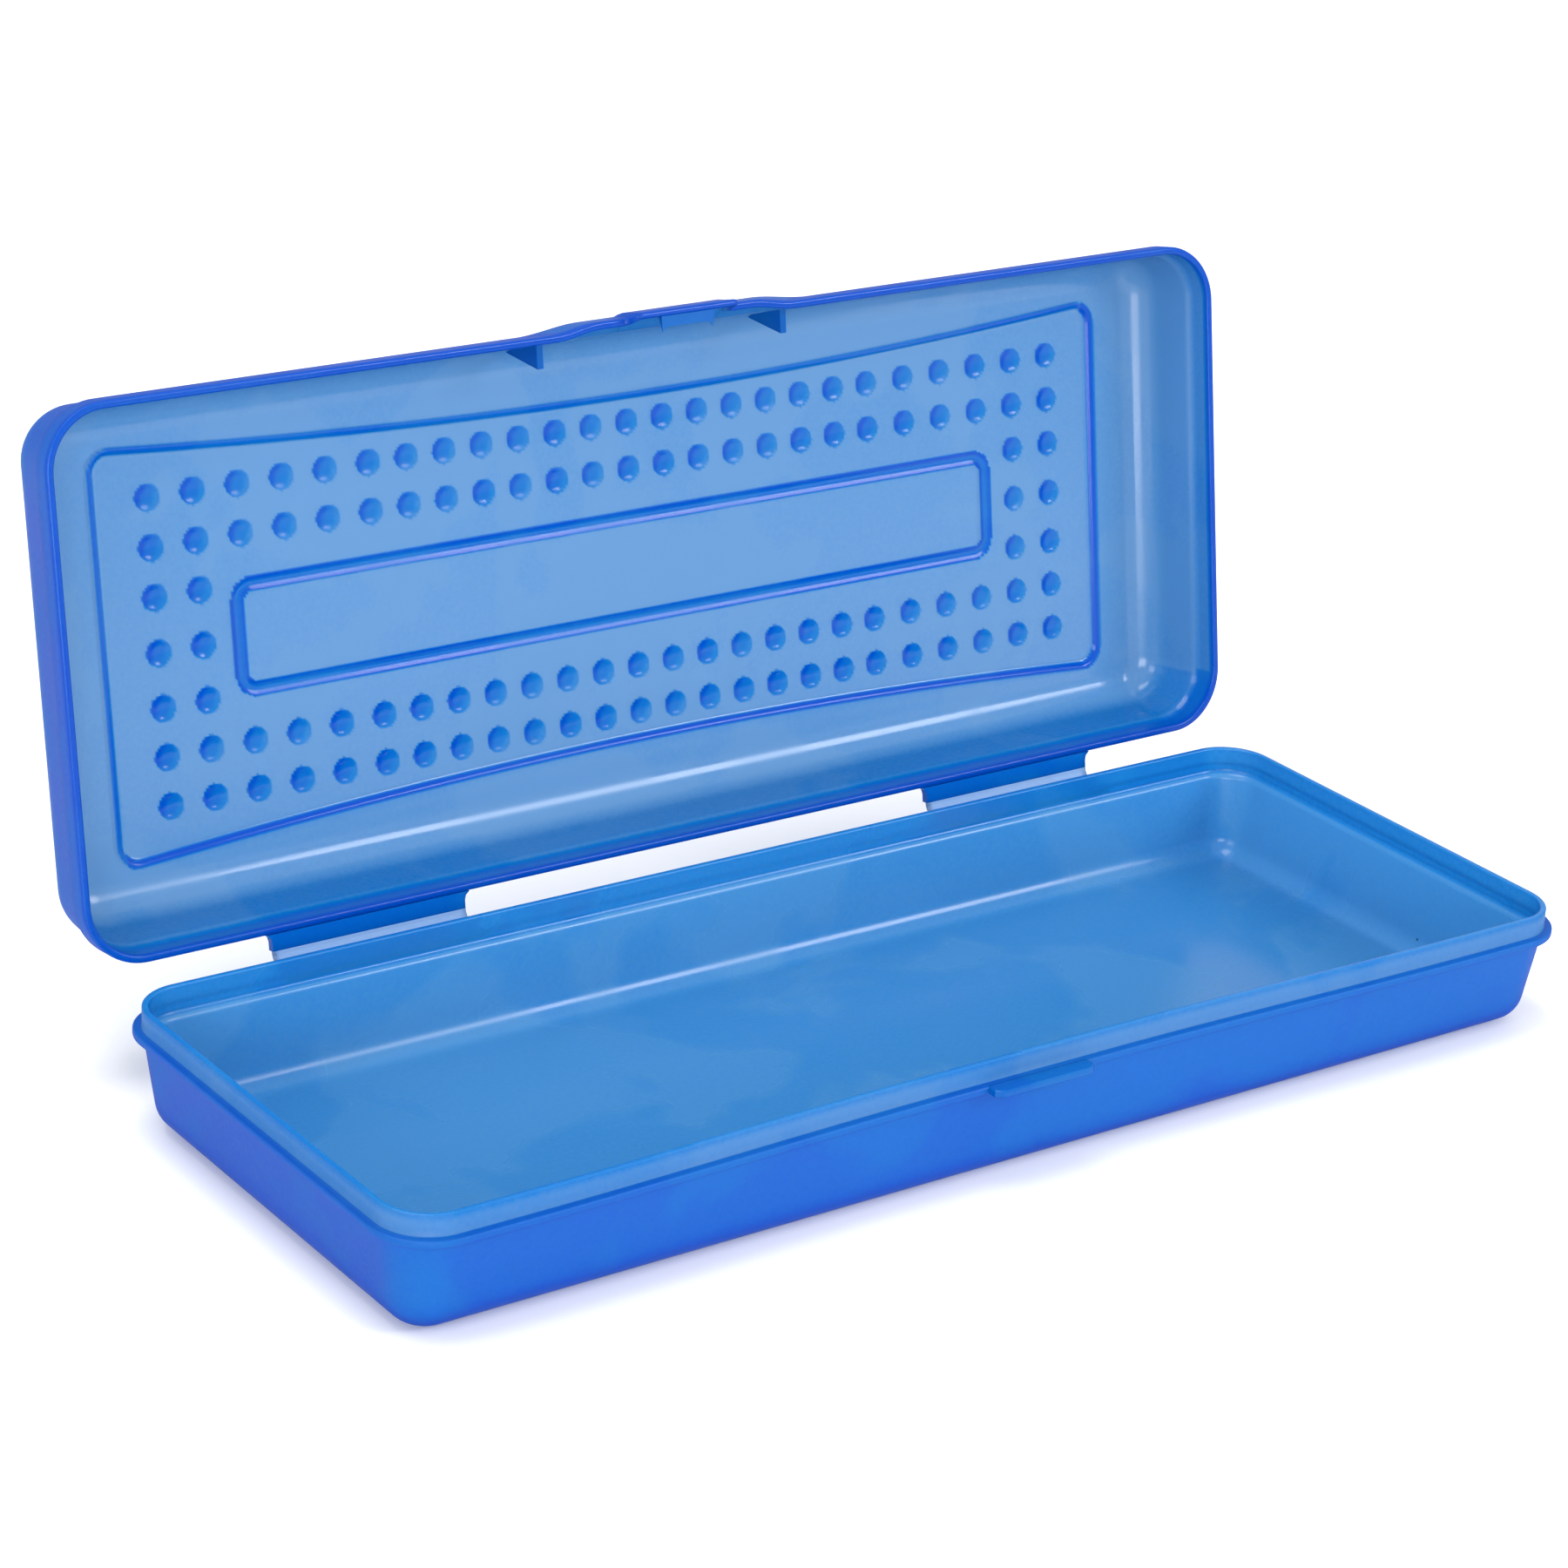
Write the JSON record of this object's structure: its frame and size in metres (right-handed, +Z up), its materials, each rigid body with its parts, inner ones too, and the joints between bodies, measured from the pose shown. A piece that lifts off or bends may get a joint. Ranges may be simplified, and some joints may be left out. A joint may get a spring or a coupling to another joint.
{
  "type": "pencil case",
  "caption": "Shallow rectangular pencil case in translucent moulded plastic, a tray and a lid joined at the back by two folding film hinges, with a thumb tab that snaps over the front rim",
  "frame": {"origin": "centre of the tray's flat underside, where the case rests", "axes": "+X along the case's length, +Y from the latch side to the hinge side, +Z up"},
  "size_m": [0.197, 0.1075, 0.0955],
  "materials": {
    "tray_plastic": "translucent blue polypropylene, glossy inside and lightly frosted outside",
    "lid_plastic": "translucent blue polypropylene, glossy inside and lightly frosted outside",
    "hinge_film_plastic": "the same plastic, thin enough to look pale"
  },
  "bodies": {
    "tray": {"tray": "tray_plastic", "latch_tongue": "tray_plastic", "left_tray_hinge_leaf": "tray_plastic", "right_tray_hinge_leaf": "tray_plastic", "left_hinge_film": "hinge_film_plastic", "right_hinge_film": "hinge_film_plastic"},
    "lid": {"lid": "lid_plastic", "left_lid_hinge_leaf": "lid_plastic", "right_lid_hinge_leaf": "lid_plastic", "thumb_tab": "lid_plastic", "latch_catch": "lid_plastic", "left_rim_stop": "lid_plastic", "right_rim_stop": "lid_plastic"}
  },
  "joints": [
    {"name": "lid_hinge", "type": "hinge", "parent": "tray", "child": "lid", "pos_m": [0, 0.0414, 0.01515], "axis": [-1, 0, 0], "range_deg": [-99.9, 75], "deforming": ["left_hinge_film", "right_hinge_film"]}
  ]
}
